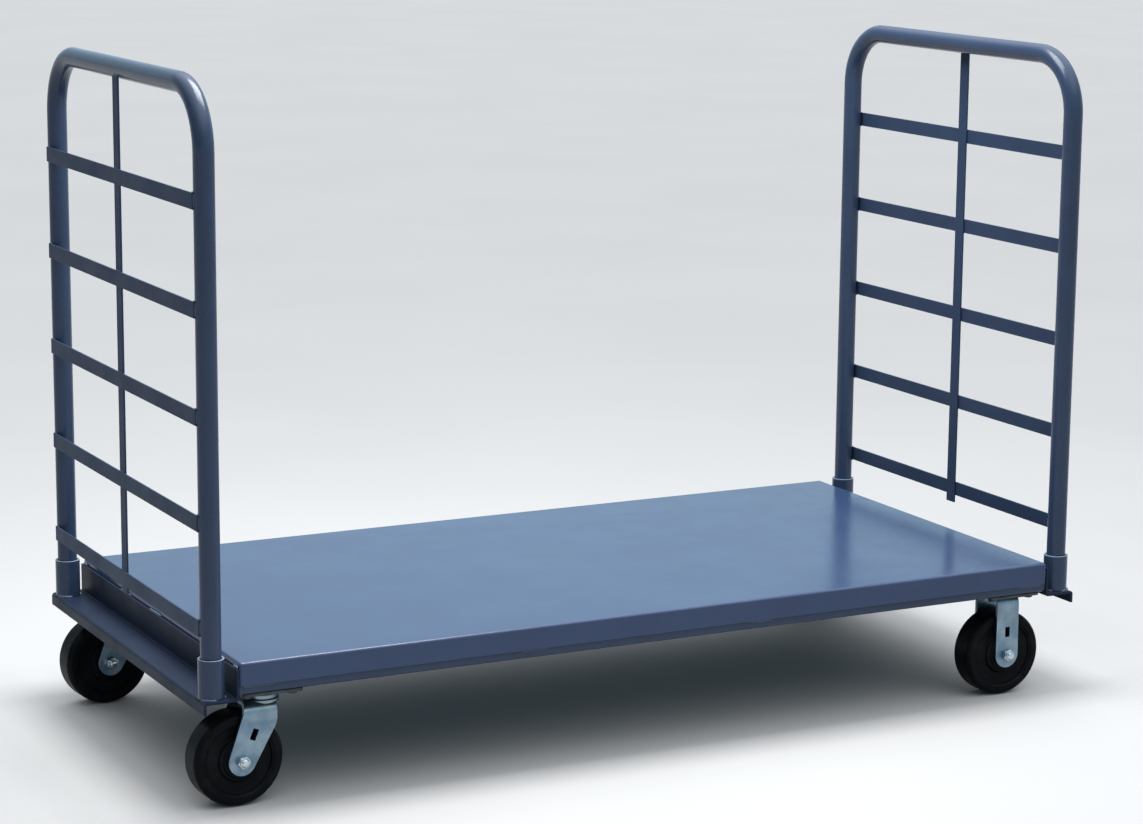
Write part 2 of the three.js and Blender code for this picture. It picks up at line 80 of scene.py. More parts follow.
PLATE_LOW, PLATE_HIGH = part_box("swivel_top_plate_front")
PLATE_BOTTOM, PLATE_TOP = PLATE_LOW.z, PLATE_HIGH.z
PLATE_X, PLATE_Y = PLATE_HIGH.x - PLATE_LOW.x, PLATE_HIGH.y - PLATE_LOW.y
PLATE_CORNER = 8 * MM
BOLT_SPACING = 3 * INCH
RACE_LOW, RACE_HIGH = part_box("ball_race_front")
RACE_RADIUS = (RACE_HIGH.x - RACE_LOW.x) / 2
RACE_BALL = 3.6 * MM
KINGPIN_BORE = 8.5 * MM  # in a swivel fork's crown
KINGPIN_HEX = 15 / 16 * INCH
PIVOT_NUT_BORE = 8.4 * MM

WHEEL_RADIUS = 3 * INCH
TREAD_HALF = INCH
HUB_HALF = 27.8 * MM
BEARING_RADIUS = 14.8 * MM

FORK_STEEL = 5.6 * MM
FORK_INNER = 28.9 * MM
FORK_OUTER = FORK_INNER + FORK_STEEL
AXLE_SEAT = FORK_OUTER + 0.3 * MM  # where the axle's head and nut bear on the legs
AXLE_NUT_HEIGHT = 11.5 * MM
AXLE_END = 2.5 * MM  # past the nut
FORK_TRAIL = 47.6 * MM
FORK_BEND = 19 * MM
SWIVEL_LEG_BACK, SWIVEL_LEG_FRONT = -32 * MM, 13 * MM  # at the top, from its swivel axis
KNEE = (SWIVEL_LEG_FRONT, 134 * MM)  # in a swivel fork's front edge, from its swivel axis
KNEE_REACH = 8 * MM  # it is round over this reach each way
FOOT_RADIUS = 23.5 * MM
RIGID_LEG_HALF = 22.6 * MM
WINDOW_WIDTH, WINDOW_HEIGHT, WINDOW_ABOVE_AXLE = 9.5 * MM, 18.5 * MM, 41.5 * MM
WINDOW_AHEAD = 20.5 * MM  # of a swivel fork's axle
AXLE_RADIUS = 6.35 * MM
AXLE_HOLE = 6.9 * MM
AXLE_HEX = 3 / 4 * INCH
PLATE_HEX = 9 / 16 * INCH


def joint(name):
    return next(j for j in frame["joints"] if j["name"] == name)


def caster_spot(end, side):
    """The floor under a caster: its swivel axis, or the axle's middle of one that doesn't swivel."""
    x, y, _ = joint(f"swivel_{side}_turn" if end == "left" else f"wheel_{end}_{side}_roll")["pos_m"]
    return Vector((x, y, 0))


CASTER = {f"{end}_{side}": caster_spot(end, side) for end in ENDS for side in SIDES}


# ---------------------------------------------------------------- mesh tools

def loft(rings, around=False):
    """One skin through rings of equally many points, closed on itself if around, else capped."""
    bm = bmesh.new()
    verts = [[bm.verts.new(point) for point in ring] for ring in rings]
    pairs = list(zip(verts, verts[1:]))
    if around:
        pairs.append((verts[-1], verts[0]))
    for near, far in pairs:
        for i in range(len(near)):
            k = (i + 1) % len(near)
            bm.faces.new((near[i], near[k], far[k], far[i]))
    if not around:
        bm.faces.new(verts[0])
        bm.faces.new(verts[-1])
    bmesh.ops.remove_doubles(bm, verts=bm.verts[:], dist=1e-7)
    bmesh.ops.recalc_face_normals(bm, faces=bm.faces[:])
    return bm


def moved(bm, matrix):
    bmesh.ops.transform(bm, matrix=matrix, verts=bm.verts[:])
    return bm


def at(x, y, z):
    return Matrix.Translation((x, y, z))


def turn(degrees, axis):
    return Matrix.Rotation(math.radians(degrees), 4, axis)


def merged(*parts):
    """Several bmeshes as one."""
    whole = bmesh.new()
    for part in parts:
        mesh = bpy.data.meshes.new("part")
        part.to_mesh(mesh)
        part.free()
        whole.from_mesh(mesh)
        bpy.data.meshes.remove(mesh)
    return whole


def arc(centre, radius, start, end, steps):
    """Points on an arc in a plane, from one angle to another, in degrees."""
    angles = [math.radians(start + (end - start) * k / steps) for k in range(steps + 1)]
    return [(centre[0] + radius * math.cos(a), centre[1] + radius * math.sin(a)) for a in angles]


def eased(profile, radius, steps=3):
    """A closed profile of (u, v) corners, with each corner rounded, or (u, v, its own radius)."""
    points = []
    count = len(profile)
    for i, corner in enumerate(profile):
        here = Vector(corner[:2])
        back = Vector(profile[i - 1][:2]) - here
        ahead = Vector(profile[(i + 1) % count][:2]) - here
        wanted = corner[2] if len(corner) > 2 else radius
        half_angle = back.angle(ahead) / 2
        cut = min(wanted / math.tan(half_angle), back.length * 0.45, ahead.length * 0.45)
        if cut < 1e-6:
            points.append(here)
            continue
        start, end = here + back.normalized() * cut, here + ahead.normalized() * cut
        for k in range(steps + 1):
            t = k / steps
            points.append(start * (1 - t) ** 2 + here * 2 * t * (1 - t) + end * t ** 2)
    return points


def turned(profile, sides, axis="Z"):
    """A closed profile of (radius, height) points, turned about an axis."""
    rings = []
    for i in range(sides):
        a = 2 * math.pi * i / sides
        if axis == "Z":
            rings.append([(r * math.cos(a), r * math.sin(a), h) for r, h in profile])
        else:
            rings.append([(r * math.cos(a), h, r * math.sin(a)) for r, h in profile])
    return loft(rings, around=True)


def hex_turned(across_flats, low, high, bore=0.0, chamfer_low=True, chamfer_high=True):
    """A hexagon prism along Z whose corners are turned off at 30 degrees, with a round bore."""
    steps_per_side = 12
    flat = across_flats / 2
    seat = flat * 0.97
    rings = []
    for i in range(6 * steps_per_side):
        a = 2 * math.pi * i / (6 * steps_per_side)
        off_flat = (a + math.pi / 6) % (math.pi / 3) - math.pi / 6
        corner = flat / math.cos(off_flat)
        drop = (corner - seat) * math.tan(math.radians(30))
        profile = [
            (bore, low), (seat, low), (corner, low + (drop if chamfer_low else 0)),
            (corner, high - (drop if chamfer_high else 0)), (seat, high), (bore, high)]
        rings.append([(r * math.cos(a), r * math.sin(a), h) for r, h in profile])
    return loft(rings, around=True)


def strip_section(corners, thickness, outer_bend, steps=8):
    """A bent strip's outline: its centreline's (u, v) corners thickened, with round bends."""
    half = thickness / 2
    middle = outer_bend - half
    points = [Vector(c) for c in corners]
    left, right = [], []
    for i, corner in enumerate(points):
        before = (corner - points[i - 1]).normalized() if i > 0 else None
        after = (points[i + 1] - corner).normalized() if i + 1 < len(points) else None
        if before is None or after is None:
            along = before or after
            normal = Vector((-along.y, along.x)) * half
            left.append(corner + normal)
            right.append(corner - normal)
            continue
        sense = math.copysign(1, before.x * after.y - before.y * after.x)
        centre = corner - before * middle + after * middle
        start = math.atan2(-before.x * sense, before.y * sense)
        for k in range(steps + 1):
            angle = start + sense * math.pi / 2 * k / steps
            spoke = Vector((math.cos(angle), math.sin(angle)))
            left.append(centre + spoke * (middle - sense * half))
            right.append(centre + spoke * (middle + sense * half))
    return right + left[::-1]


def extruded(outline, low, high, axis, stations=1):
    """An outline extruded from low to high: (Y, Z) along X, (X, Z) along Y, or (X, Y) along Z."""
    rings = []
    for k in range(stations + 1):
        w = low + (high - low) * k / stations
        if axis == "X":
            rings.append([(w, u, v) for u, v in outline])
        elif axis == "Y":
            rings.append([(u, w, v) for u, v in outline])
        else:
            rings.append([(u, v, w) for u, v in outline])
    return loft(rings)


def rounded_rectangle(width, height, radius, steps=8):
    x, y = width / 2 - radius, height / 2 - radius
    corners = ((x, y, 0), (-x, y, 90), (-x, -y, 180), (x, -y, 270))
    return [p for cx, cy, start in corners for p in arc((cx, cy), radius, start, start + 90, steps)]


def boolean(base, tool, operation):
    """base joined with, cut by or limited to tool, both bmeshes; flat faces are merged again."""
    objects = []
    for bm in (base, tool):
        mesh = bpy.data.meshes.new("boolean")
        bm.to_mesh(mesh)
        bm.free()
        obj = bpy.data.objects.new("boolean", mesh)
        bpy.context.scene.collection.objects.link(obj)
        objects.append(obj)
    modifier = objects[0].modifiers.new("boolean", "BOOLEAN")
    modifier.operation = operation
    modifier.solver = "EXACT"
    modifier.object = objects[1]
    bpy.context.view_layer.update()
    evaluated = objects[0].evaluated_get(bpy.context.evaluated_depsgraph_get())
    result = bmesh.new()
    result.from_mesh(evaluated.to_mesh())
    evaluated.to_mesh_clear()
    for obj in objects:
        mesh = obj.data
        bpy.data.objects.remove(obj)
        bpy.data.meshes.remove(mesh)
    bmesh.ops.remove_doubles(result, verts=result.verts[:], dist=1e-6)
    bmesh.ops.dissolve_limit(
        result, angle_limit=math.radians(0.5), verts=result.verts[:], edges=result.edges[:])
    return result


def swept(path, radius_at, sides, up):
    """A round rod along a path, its radius given by radius_at(step); up is never along the path."""
    rings = []
    for i, point in enumerate(path):
        along = (path[min(i + 1, len(path) - 1)] - path[max(i - 1, 0)]).normalized()
        across = along.cross(up).normalized()
        out = across.cross(along)
        r = radius_at(i)
        rings.append([
            point + (across * math.cos(a) + out * math.sin(a)) * r
            for a in (2 * math.pi * k / sides for k in range(sides))])
    return loft(rings)


def add_bevel(obj, width, segments, angle=40):
    """Eases the edges where two faces meet at more than an angle in degrees."""
    bevel = obj.modifiers.new("eased_edges", "BEVEL")
    bevel.width = width
    bevel.segments = segments
    bevel.limit_method = "ANGLE"
    bevel.angle_limit = math.radians(angle)


def piece(name, bm, finish, body, stands_for=(), ease=0.0):
    """A bmesh as a named piece on a body, its edges eased by a bevel and its flat faces kept flat."""
    mesh = bpy.data.meshes.new(name)
    bm.to_mesh(mesh)
    bm.free()
    mesh.materials.append(finish)
    obj = bpy.data.objects.new(name, mesh)
    bpy.context.scene.collection.objects.link(obj)
    mesh.shade_smooth()
    if ease:
        add_bevel(obj, ease, 3)
    else:
        mesh.set_sharp_from_angle(angle=math.radians(38))
    normals = obj.modifiers.new("flat_faces", "WEIGHTED_NORMAL")
    normals.keep_sharp = True
    normals.weight = 100
    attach(obj, body)
    if stands_for:
        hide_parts(*stands_for)
    return obj


# ---------------------------------------------------------------- finishes

class Finish:
    """A material made of nodes on one Principled shader, with short ways to add the nodes."""

    def __init__(self, name):
        self.material = bpy.data.materials.new(name)
        self.material.use_nodes = True
        self.tree = self.material.node_tree
        self.shader = self.tree.nodes["Principled BSDF"]
        self.coordinates = self.tree.nodes.new("ShaderNodeTexCoord").outputs["Object"]

    def join(self, value, socket):
        if isinstance(value, bpy.types.NodeSocket):
            self.tree.links.new(value, socket)
        else:
            socket.default_value = value

    def stretched(self, scale, rotation=(0, 0, 0)):
        node = self.tree.nodes.new("ShaderNodeMapping")
        node.inputs["Scale"].default_value = scale
        node.inputs["Rotation"].default_value = rotation
        self.join(self.coordinates, node.inputs["Vector"])
        return node.outputs["Vector"]

    def noise(self, scale, detail=3.0, rough=0.5, distortion=0.0, where=None):
        node = self.tree.nodes.new("ShaderNodeTexNoise")
        node.inputs["Scale"].default_value = scale
        node.inputs["Detail"].default_value = detail
        node.inputs["Roughness"].default_value = rough
        node.inputs["Distortion"].default_value = distortion
        self.join(where or self.coordinates, node.inputs["Vector"])
        return node.outputs["Fac"]

    def ramp(self, value, low, high, out_low=0.0, out_high=1.0):
        """value from low..high mapped smoothly to out_low..out_high."""
        node = self.tree.nodes.new("ShaderNodeMapRange")
        node.interpolation_type = "SMOOTHSTEP"
        for socket, number in zip(node.inputs[1:5], (low, high, out_low, out_high)):
            socket.default_value = number
        self.join(value, node.inputs["Value"])
        return node.outputs["Result"]

    def height(self):
        node = self.tree.nodes.new("ShaderNodeSeparateXYZ")
        self.join(self.coordinates, node.inputs[0])
        return node.outputs["Z"]

    def times(self, a, b):
        node = self.tree.nodes.new("ShaderNodeMath")
        node.operation = "MULTIPLY"
        self.join(a, node.inputs[0])
        self.join(b, node.inputs[1])
        return node.outputs[0]

    def plus(self, a, b):
        node = self.tree.nodes.new("ShaderNodeMath")
        node.operation = "ADD"
        self.join(a, node.inputs[0])
        self.join(b, node.inputs[1])
        return node.outputs[0]

    def mix(self, share, a, b):
        node = self.tree.nodes.new("ShaderNodeMix")
        node.data_type = "RGBA"
        self.join(share, node.inputs["Factor"])
        self.join(a, node.inputs[6])
        self.join(b, node.inputs[7])
        return node.outputs[2]

    def bump(self, height, distance, below=None):
        node = self.tree.nodes.new("ShaderNodeBump")
        node.inputs["Distance"].default_value = distance
        self.join(height, node.inputs["Height"])
        if below:
            self.join(below, node.inputs["Normal"])
        return node.outputs["Normal"]

    def set(self, socket, value):
        self.join(value, self.shader.inputs[socket])


def colour(red, green, blue):
    return (red, green, blue, 1)


def scratches(finish, length_scale, rotation, low, high):
    """Fine straight marks: a noise drawn out along one direction, only where another noise is high."""
    lines = finish.noise(1, 2, 0.6, where=finish.stretched(
        (length_scale, 90 * length_scale, 40 * length_scale), (0, 0, rotation)))
    patches = finish.ramp(finish.noise(5, 2), 0.52, 0.66)
    return finish.times(finish.ramp(lines, low, high), patches)


def enamel(
        name, base, darker, lighter, scuff, gloss_low, gloss_high, ior, worn_above=None):
    """Sprayed blue-grey enamel: a fine orange peel, faint clouds and scuffs, worn above a height."""
    finish = Finish(name)
    clouds = finish.ramp(finish.noise(7, 4, 0.6), 0.35, 0.65)
    tone = finish.mix(clouds, darker, base)
    grain = finish.ramp(finish.noise(420, 2, 0.5), 0.35, 0.7)
    tone = finish.mix(finish.times(grain, 0.35), tone, lighter)
    marks = finish.plus(
        scratches(finish, 3.0, 0.5, 0.69, 0.74), scratches(finish, 4.2, -0.95, 0.7, 0.75))
    tone = finish.mix(finish.times(marks, 0.05), tone, scuff)
    if worn_above is not None:
        wear = finish.ramp(finish.height(), worn_above, worn_above + 0.5 * MM, 0.0, 0.8)
        tone = finish.mix(wear, tone, WORN_PAINT)
    finish.set("Base Color", tone)
    gloss = finish.ramp(finish.noise(11, 4, 0.6, 0.4), 0.3, 0.7, gloss_low, gloss_high)
    gloss = finish.plus(gloss, finish.times(marks, 0.02))
    finish.set("Roughness", gloss)
    finish.set("IOR", ior)
    peel = finish.bump(finish.noise(260, 2, 0.5), 0.00012)
    finish.set("Normal", finish.bump(finish.noise(1100, 1, 0.5), 0.00002, peel))
    return finish.material


def zinc_plating(name, bluish, pale, straw_tone, gloss_low, gloss_high):
    """Zinc on steel: faint cloudy patches from bluish to straw, a fine grain and small dull spots."""
    finish = Finish(name)
    clouds = finish.ramp(finish.noise(34, 4, 0.55, 0.15), 0.28, 0.72)
    tone = finish.mix(clouds, bluish, pale)
    straw = finish.ramp(finish.noise(21, 3, 0.5), 0.5, 0.8, 0.0, 0.4)
    tone = finish.mix(straw, tone, straw_tone)
    spots = finish.ramp(finish.noise(160, 3, 0.6), 0.66, 0.74, 0.0, 0.5)
    finish.set("Base Color", finish.mix(spots, tone, colour(0.10, 0.11, 0.115)))
    finish.set("Metallic", 1.0)
    finish.set("Roughness", finish.ramp(finish.noise(48, 4, 0.6), 0.3, 0.7, gloss_low, gloss_high))
    rolled = finish.bump(finish.noise(90, 3, 0.55), 0.0002)
    finish.set("Normal", finish.bump(finish.noise(900, 2, 0.6), 0.00003, rolled))
    return finish.material


def moulded_rubber(name):
    """Black moulded wheels: a satin face with a faint bloom and floor dust rubbed into the tread."""
    finish = Finish(name)
    bloom = finish.ramp(finish.noise(26, 4, 0.6), 0.42, 0.72)
    tone = finish.mix(bloom, colour(0.0028, 0.0032, 0.0042), colour(0.006, 0.0066, 0.0078))
    dust = finish.ramp(finish.noise(130, 4, 0.65), 0.6, 0.8, 0.0, 0.35)
    finish.set("Base Color", finish.mix(dust, tone, colour(0.018, 0.0185, 0.019)))
    finish.set("Roughness", finish.ramp(finish.noise(60, 4, 0.6), 0.3, 0.7, 0.3, 0.42))
    finish.set("IOR", 1.13)
    finish.set("Normal", finish.bump(finish.noise(500, 3, 0.6), 0.00006))
    return finish.material


def ground_steel(name):
    """Oiled bearing steel with turning marks too fine to count."""
    finish = Finish(name)
    oil = finish.ramp(finish.noise(140, 3, 0.6), 0.4, 0.65)
    finish.set("Base Color", finish.mix(oil, colour(0.17, 0.16, 0.15), colour(0.42, 0.42, 0.42)))
    finish.set("Metallic", 1.0)
    finish.set("Roughness", finish.ramp(finish.noise(220, 3), 0.3, 0.7, 0.24, 0.42))
    finish.set("Normal", finish.bump(finish.noise(1200, 2), 0.00002))
    return finish.material


def studio_floor(name):
    finish = Finish(name)
    patches = finish.ramp(finish.noise(1.1, 2, 0.5), 0.3, 0.7)
    finish.set("Base Color", finish.mix(patches, colour(0.365, 0.358, 0.350), colour(0.375, 0.368, 0.360)))
    finish.set("Roughness", finish.ramp(finish.noise(5, 3), 0.3, 0.7, 0.85, 0.9))
    finish.set("Specular IOR Level", 0.2)
    return finish.material


WORN_PAINT = colour(0.16, 0.20, 0.27)
FRAME_TONES = (
    colour(0.021, 0.035, 0.068), colour(0.018, 0.030, 0.060),
    colour(0.028, 0.045, 0.082), colour(0.08, 0.11, 0.17), 0.17, 0.25, 1.33)
DECK_PAINT = enamel(
    "deck_paint", colour(0.023, 0.041, 0.092), colour(0.020, 0.036, 0.082),
    colour(0.031, 0.052, 0.110), colour(0.09, 0.13, 0.20), 0.18, 0.24, 1.38)
FRAME_PAINT = enamel("frame_paint", *FRAME_TONES)
# The weld beads' enamel is a lighter copy of the frame's: a painted highlight for the light their ripples
# catch.
HIGHLIT_WELD_PAINT = enamel(
    "weld_paint_painted_highlight", colour(0.032, 0.050, 0.090), colour(0.022, 0.035, 0.066),
    colour(0.045, 0.068, 0.115), colour(0.08, 0.11, 0.17), 0.18, 0.28, 1.42)
BAR_PAINT = enamel(
    "bar_paint", colour(0.022, 0.036, 0.068), colour(0.019, 0.031, 0.060),
    colour(0.029, 0.045, 0.082), colour(0.08, 0.11, 0.17), 0.4, 0.5, 1.14)
# The end bolsters' enamel is a darker copy of the frame's: painted shade for the shade they sit in at the
# deck's ends.
SHADED_BOLSTER_PAINT = enamel(
    "bolster_paint_painted_shade", colour(0.011, 0.017, 0.034), colour(0.009, 0.014, 0.029),
    colour(0.015, 0.023, 0.043), colour(0.05, 0.07, 0.11), 0.4, 0.5, 1.16)
SOCKET_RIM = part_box("socket_left_front")[1].z
SOCKET_PAINT = enamel("socket_paint", *FRAME_TONES, worn_above=SOCKET_RIM - 1 * MM)
ZINC = zinc_plating(
    "zinc_plate", colour(0.13, 0.20, 0.27), colour(0.24, 0.32, 0.38), colour(0.24, 0.27, 0.24), 0.27, 0.44)
# The caster top plates and their bolts: rougher zinc whose colour is far darker than the other zinc, which
# is painted shade for the shade under the frame.
SHADED_DULL_ZINC = zinc_plating(
    "shaded_dull_zinc_plate", colour(0.04, 0.048, 0.056), colour(0.075, 0.085, 0.095), colour(0.07, 0.07, 0.06),
    0.46, 0.6)
BRIGHT_ZINC = zinc_plating(
    "bright_zinc_plate", colour(0.42, 0.49, 0.53), colour(0.60, 0.65, 0.67), colour(0.55, 0.56, 0.48),
    0.14, 0.24)
RUBBER = moulded_rubber("wheel_rubber")
STEEL_FINISH = ground_steel("bearing_steel")

# ---------------------------------------------------------------- welds

dice = random.Random(7)


def bead(start, end, radius, up=Vector((0, 0, 1)), pitch=3.2 * MM, wander=0.5 * MM):
    """A weld bead from start to end: overlapping ripples that swell and thin, with tapered ends."""
    start, end = Vector(start), Vector(end)
    length = (end - start).length
    count = max(8, round(length / (0.8 * MM)))
    phase = dice.random() * 10
    path = []
    radii = []
    for i in range(count + 1):
        t = i / count
        drift = Vector((noise.noise((phase, 40 * t * length, k)) for k in range(3))) * wander
        path.append(start.lerp(end, t) + drift)
        ripple = 0.86 + 0.14 * abs(math.cos(math.pi * t * length / pitch + phase))
        swell = 1 + 0.25 * noise.noise((phase, 60 * t * length, 7))
        taper = math.sin(math.pi * min(1, min(t, 1 - t) * length / (2 * radius) + 0.08) / 2)
        radii.append(radius * ripple * swell * max(0.12, taper))
    return swept(path, lambda i: radii[i], 12, up)


def ring_bead(centre, ring_radius, radius, start, end, pitch=3.2 * MM):
    """A weld bead round part of a post's foot, between two angles in degrees."""
    count = max(8, round(math.radians(end - start) * ring_radius / (0.8 * MM)))
    phase = dice.random() * 10
    path = []
    for i in range(count + 1):
        a = math.radians(start + (end - start) * i / count)
        path.append(Vector(centre) + Vector((math.cos(a), math.sin(a), 0)) * ring_radius)

    def radius_at(i):
        run = i * 0.8 * MM
        ripple = 0.84 + 0.16 * abs(math.cos(math.pi * run / pitch + phase))
        taper = min(1, min(i, count - i) / 4 + 0.15)
        return radius * ripple * taper * (1 + 0.2 * noise.noise((phase, 90 * run, 3)))

    return swept(path, radius_at, 12, Vector((0, 0, 1)))


# ---------------------------------------------------------------- deck and underframe

def deck_shell():
    """The deck's skin: a gridded block without a bottom, edges rounded, its top hardly wavy."""
    half = (DECK_HIGH - DECK_LOW) / 2
    centre = (DECK_HIGH + DECK_LOW) / 2

    def lines(reach, spacing):
        inner = reach - DECK_EDGE
        count = round(2 * inner / spacing)
        flat = [-inner + 2 * inner * k / count for k in range(count + 1)]
        edge = [inner + DECK_EDGE * k / 5 for k in range(1, 6)]
        return [-e for e in reversed(edge)] + flat + edge

    xs, ys = lines(half.x, 24 * MM), lines(half.y, 24 * MM)
    zs = [z for z in lines(half.z, 8 * MM)]
    bm = bmesh.new()
    known = {}

    def vertex(x, y, z):
        key = (round(x, 6), round(y, 6), round(z, 6))
        if key not in known:
            core = Vector((
                max(-half.x + DECK_EDGE, min(half.x - DECK_EDGE, x)),
                max(-half.y + DECK_EDGE, min(half.y - DECK_EDGE, y)),
                min(half.z - DECK_EDGE, z)))
            off = Vector((x, y, z)) - core
            point = core + off.normalized() * min(off.length, DECK_EDGE) if off.length > 0 else core
            calm = min(1, (half.x - abs(x)) / (60 * MM), (half.y - abs(y)) / (60 * MM))
            if z >= half.z and calm > 0:
                point.z += calm * 0.45 * MM * noise.noise((3.1 * x, 3.7 * y, 2))
            known[key] = bm.verts.new(centre + point)
        return known[key]

    def sheet(us, vs, corner):
        for u0, u1 in zip(us, us[1:]):
            for v0, v1 in zip(vs, vs[1:]):
                square = ((u0, v0), (u1, v0), (u1, v1), (u0, v1))
                bm.faces.new([vertex(*corner(u, v)) for u, v in square])

    sheet(xs, ys, lambda u, v: (u, v, half.z))
    for side in (-1, 1):
        sheet(xs, zs, lambda u, v: (u, side * half.y, v))
        sheet(ys, zs, lambda u, v: (side * half.x, u, v))
    bmesh.ops.recalc_face_normals(bm, faces=bm.faces[:])
    return bm


def deck():
    shell = piece("deck_pan", deck_shell(), DECK_PAINT, TRUCK, ["deck_sheet"])
    shell.modifiers.clear()
    thickness = shell.modifiers.new("sheet_thickness", "SOLIDIFY")
    thickness.thickness = DECK_SHEET
    thickness.offset = -1
    thickness.use_even_offset = True
    add_bevel(shell, 0.6 * MM, 2, 60)
    shell.modifiers.new("flat_faces", "WEIGHTED_NORMAL").keep_sharp = True


def side_rails():
    for side, sign in SIDES.items():
        low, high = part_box(f"side_rail_{side}")
        half = STEEL / 2
        web = sign * (max(abs(low.y), abs(high.y)) - half)
        tip = web - sign * (RAIL_LEG - half)
        section = strip_section(
            [(tip, low.z + half), (web, low.z + half), (web, high.z - half), (tip, high.z - half)],
            STEEL, BEND)
        rail = extruded(section, low.x, high.x, "X")
        notch_low = DECK_LOW.z - 0.3 * MM
        for end in ENDS.values():
            cut = [end * (high.x - RAIL_END_CUT), end * 2 * high.x]
            outline = [(-1, notch_low), (1, notch_low), (1, 1), (-1, 1)]
            tool = extruded(outline, min(cut), max(cut), "X")
            rail = boolean(rail, tool, "DIFFERENCE")
        piece(f"rail_{side}", rail, FRAME_PAINT, TRUCK,
              [f"side_rail_{side}"], 0.5 * MM)


def cross_members():
    for name in ("left", "centre", "right"):
        low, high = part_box(f"cross_member_{name}")
        half = STEEL / 2
        section = strip_section(
            [(low.x + half, high.z), (low.x + half, low.z + half),
             (high.x - half, low.z + half), (high.x - half, high.z)], STEEL, BEND)
        member = extruded(section, low.y, high.y, "Y")
        piece(f"crossbeam_{name}", member, FRAME_PAINT, TRUCK,
              [f"cross_member_{name}"], 0.5 * MM)
        for side, sign in SIDES.items():
            y = sign * (high.y + 0.1 * MM)
            weld = bead((low.x + 8 * MM, y, low.z), (high.x - 8 * MM, y, low.z), 2.6 * MM)
            piece(f"weld_crossbeam_{name}_{side}", weld, HIGHLIT_WELD_PAINT, TRUCK)


def end_bolsters():
    for end, sign in ENDS.items():
        low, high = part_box(f"end_bolster_{end}")
        socket_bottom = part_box(f"socket_{end}_front")[0].z
        half = STEEL / 2
        inner = min(abs(low.x), abs(high.x))
        outer = max(abs(low.x), abs(high.x))
        ledge = socket_bottom - 0.3 * MM - half
        section = strip_section(
            [(sign * (inner + half), high.z), (sign * (inner + half), ledge),
             (sign * (outer - half), ledge), (sign * (outer - half), low.z)], STEEL, BEND)
        strip = extruded(section, low.y, high.y, "Y", 24)
        piece(f"bolster_{end}", strip, SHADED_BOLSTER_PAINT, TRUCK,
              [f"end_bolster_{end}"], 0.6 * MM)
        end_welds(end, sign, inner, high.z)


def end_welds(end, sign, inner, top):
    """The beads that hold an end bolster to the deck's lip: two stitches, and one at each corner."""
    x = sign * (inner + 1 * MM)
    stitches = [bead((x, y - 26 * MM, top + 0.4 * MM), (x, y + 26 * MM, top + 0.4 * MM), 3 * MM)
                for y in (0.150, 0.002)]
    for side in SIDES.values():
        y = side * (DECK_HIGH.y - 5 * MM)
        stitches.append(bead((x, y, top + 1 * MM), (x, y - side * 20 * MM, top + 1 * MM), 4 * MM))
        stitches.append(bead((x, y, top), (x, y, top - 24 * MM), 2.6 * MM, Vector((1, 0, 0))))
    piece(f"weld_bolster_{end}", merged(*stitches), HIGHLIT_WELD_PAINT, TRUCK)


def sockets():
    for end in ENDS:
        for side in SIDES:
            node = f"socket_{end}_{side}"
            low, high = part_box(node)
            middle = (low + high) / 2
            profile = eased([
                (SOCKET_RADIUS, low.z, 0.4 * MM), (SOCKET_RADIUS, high.z, 1.1 * MM),
                (SOCKET_BORE, high.z, 0.9 * MM), (SOCKET_BORE, low.z, 0.4 * MM)], 0.5 * MM)
            sleeve = moved(turned(profile, 64), at(middle.x, middle.y, 0))
            piece(f"sleeve_{end}_{side}", sleeve, SOCKET_PAINT, TRUCK, [node])
            outward = 0 if end == "right" else 180
            foot = (middle.x, middle.y, low.z)
            welds = [ring_bead(foot, SOCKET_RADIUS, 3.2 * MM, outward + a, outward + a + 75)
                     for a in (-95, 20, 150)]
            piece(f"weld_socket_{end}_{side}", merged(*welds), HIGHLIT_WELD_PAINT, TRUCK)


def seam_welds():
    """Stitches along the seam between the deck's lip and the rail under it, on both long sides."""
    stretches = ((-0.757, -0.700), (-0.275, -0.225), (0.150, 0.200), (0.705, 0.757))
    for side, sign in SIDES.items():
        y = sign * (DECK_HIGH.y - 3.6 * MM)
        z = DECK_LOW.z - 1.3 * MM
        beads = [bead((a, y, z), (b, y, z), 2.8 * MM, wander=0.3 * MM) for a, b in stretches]
        piece(f"weld_seam_{side}", merged(*beads), HIGHLIT_WELD_PAINT, TRUCK)


# ---------------------------------------------------------------- end frames

def hoop(end):
    node = f"handle_tube_{end}"
    low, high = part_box(node)
    x = (low.x + high.x) / 2
    reach = high.y - TUBE_RADIUS
    top = high.z - TUBE_RADIUS
    bend_y, bend_z = reach - HOOP_BEND, top - HOOP_BEND
    line = [(-reach, low.z), (-reach, (low.z + bend_z) / 2)]
    line += arc((-bend_y, bend_z), HOOP_BEND, 180, 90, 24)
    line += arc((bend_y, bend_z), HOOP_BEND, 90, 0, 24)
    line += [(reach, (low.z + bend_z) / 2), (reach, low.z)]
    sides = 64
    outside, inside = [], []
    for i, (y, z) in enumerate(line):
        before, after = line[max(i - 1, 0)], line[min(i + 1, len(line) - 1)]
        along = Vector((0, after[0] - before[0], after[1] - before[1])).normalized()
        normal = Vector((0, along.z, -along.y))
        for rings, radius in ((outside, TUBE_RADIUS), (inside, TUBE_RADIUS - TUBE_WALL)):
            rings.append([
                Vector((x, y, z)) + (Vector((1, 0, 0)) * math.cos(a) + normal * math.sin(a)) * radius
                for a in (2 * math.pi * k / sides for k in range(sides))])
    tube = loft(outside + inside[::-1], around=True)
    piece(f"hoop_{end}", tube, FRAME_PAINT, f"{end}_end_frame", [node])


